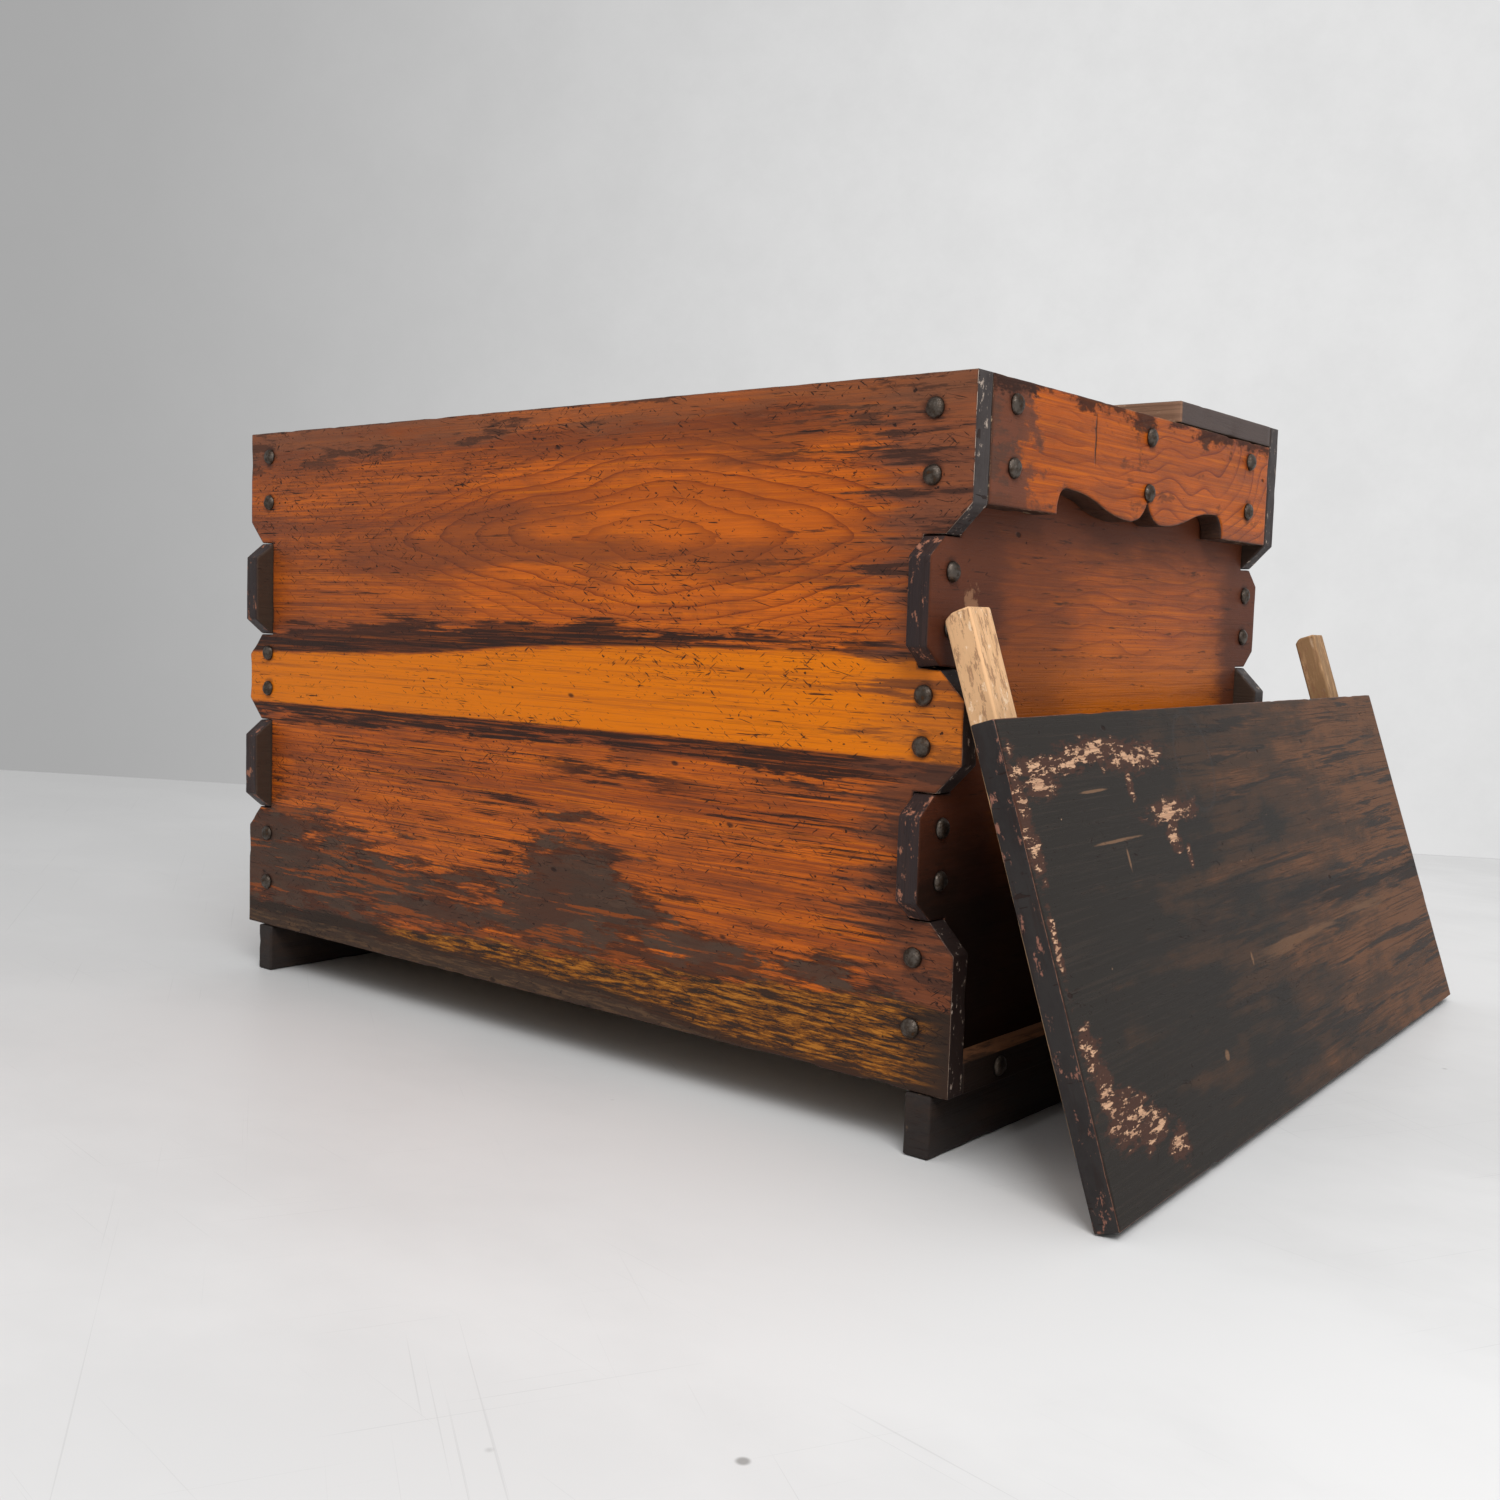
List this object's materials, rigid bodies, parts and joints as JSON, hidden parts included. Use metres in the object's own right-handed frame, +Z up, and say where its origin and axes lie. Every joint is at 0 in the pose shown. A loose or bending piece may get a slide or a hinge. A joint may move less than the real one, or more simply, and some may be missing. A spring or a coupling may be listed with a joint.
{
  "type": "storage chest",
  "caption": "Lacquered wooden grain chest with eared corner joints, a carved apron at each end, domed iron nails and a loose battened lid leaning on one end.",
  "frame": {"origin": "on the floor, in the middle of the footprint of the chest and its leaning lid together", "axes": "+X along the chest to its right end, +Y from the front to the back, +Z up"},
  "size_m": [1.0176, 0.8604, 0.5643],
  "materials": {
    "long_board_lacquer": "worn translucent orange-brown lacquer over figured grain",
    "end_panel_lacquer": "worn translucent orange-brown lacquer, dark at the borders",
    "apron_lacquer": "translucent orange lacquer over curved growth rings",
    "rail_wood": "dark worn lacquer",
    "foot_wood": "dark dry wood, rubbed at the corners",
    "top_board_lacquer": "dark lacquer outside, raw sawn front edge",
    "bare_inner_wood": "bare aged softwood",
    "lid_lacquer": "black-brown lacquer worn through to bare wood",
    "bare_batten_wood": "bare pine, rubbed and a little dirty",
    "wrought_iron": "dark forged iron with a slight sheen"
  },
  "bodies": {
    "chest": {"front_nails": "wrought_iron", "back_nails": "wrought_iron", "left_end_nails": "wrought_iron", "right_end_nails": "wrought_iron", "left_apron_nails": "wrought_iron", "right_apron_nails": "wrought_iron", "bottom_rail_nails": "wrought_iron", "bottom_plank_nails": "wrought_iron", "foot_nails": "wrought_iron", "fixed_top_nails": "wrought_iron", "front_board": "long_board_lacquer", "back_board": "long_board_lacquer", "left_end_panel": "end_panel_lacquer", "right_end_panel": "end_panel_lacquer", "left_apron": "apron_lacquer", "right_apron": "apron_lacquer", "left_bottom_rail": "rail_wood", "right_bottom_rail": "rail_wood", "front_bottom_plank": "bare_inner_wood", "back_bottom_plank": "bare_inner_wood", "left_foot": "foot_wood", "right_foot": "foot_wood", "fixed_top_board": "top_board_lacquer"},
    "lid": {"lid_batten_nails": "wrought_iron", "lid_board": "lid_lacquer", "lid_left_batten": "bare_batten_wood", "lid_right_batten": "bare_batten_wood"}
  },
  "joints": [
    {"name": "lid_tip", "type": "hinge", "parent": "chest", "child": "lid", "pos_m": [0.48413, 0.00345, 0.00578], "axis": [-0.0577, 0.9983, 0], "range_deg": [0, 109]}
  ]
}
